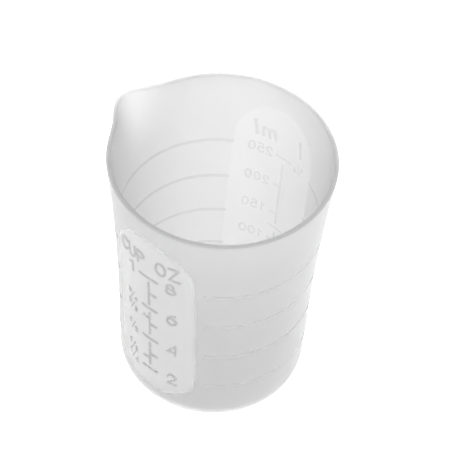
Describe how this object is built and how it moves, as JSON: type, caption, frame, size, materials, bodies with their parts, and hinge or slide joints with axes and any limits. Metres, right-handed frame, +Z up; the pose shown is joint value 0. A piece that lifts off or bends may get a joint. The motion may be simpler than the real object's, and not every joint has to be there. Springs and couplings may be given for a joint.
{
  "type": "measuring beaker",
  "caption": "Soft translucent measuring beaker with a pouring lip, level lines, and raised ounce, cup, millilitre and litre scales on two polished panels.",
  "frame": {"origin": "centre of the base's underside, on the beaker's axis", "axes": "+Z up the beaker's axis to the rim; -X towards the pouring lip; -Y towards the ounce and cup panel, so the millilitre and litre panel is on +Y"},
  "size_m": [0.0843, 0.0786, 0.107],
  "materials": {
    "frosted_silicone": "frosted translucent silicone, matt",
    "polished_silicone": "polished translucent silicone, satin gloss",
    "raised_marks": "polished translucent silicone, raised relief"
  },
  "bodies": {
    "root": {"cup_body": "frosted_silicone", "ounce_panel": "polished_silicone", "millilitre_panel": "polished_silicone", "cup_fraction_half": "raised_marks", "cup_fraction_quarter": "raised_marks", "cup_fraction_third": "raised_marks", "cup_fraction_three_quarters": "raised_marks", "cup_fraction_two_thirds": "raised_marks", "cup_heading": "raised_marks", "cup_numeral_1": "raised_marks", "level_line_2_far_side": "frosted_silicone", "level_line_2_lip_side": "frosted_silicone", "level_line_4_far_side": "frosted_silicone", "level_line_4_lip_side": "frosted_silicone", "level_line_6_far_side": "frosted_silicone", "level_line_6_lip_side": "frosted_silicone", "level_line_8_far_side": "frosted_silicone", "level_line_8_lip_side": "frosted_silicone", "litre_fraction_eighth": "raised_marks", "litre_fraction_quarter": "raised_marks", "litre_heading": "raised_marks", "millilitre_heading": "raised_marks", "millilitre_long_tick_125": "raised_marks", "millilitre_long_tick_250": "raised_marks", "millilitre_numeral_100": "raised_marks", "millilitre_numeral_150": "raised_marks", "millilitre_numeral_200": "raised_marks", "millilitre_numeral_250": "raised_marks", "millilitre_numeral_50": "raised_marks", "millilitre_scale_line_lower": "raised_marks", "millilitre_scale_line_upper": "raised_marks", "ounce_heading": "raised_marks", "ounce_long_tick_2": "raised_marks", "ounce_long_tick_4": "raised_marks", "ounce_long_tick_6": "raised_marks", "ounce_long_tick_8": "raised_marks", "ounce_numeral_2": "raised_marks", "ounce_numeral_4": "raised_marks", "ounce_numeral_6": "raised_marks", "ounce_numeral_8": "raised_marks", "ounce_scale_line_lower": "raised_marks", "ounce_scale_line_middle": "raised_marks", "ounce_scale_line_upper": "raised_marks"}
  },
  "joints": []
}
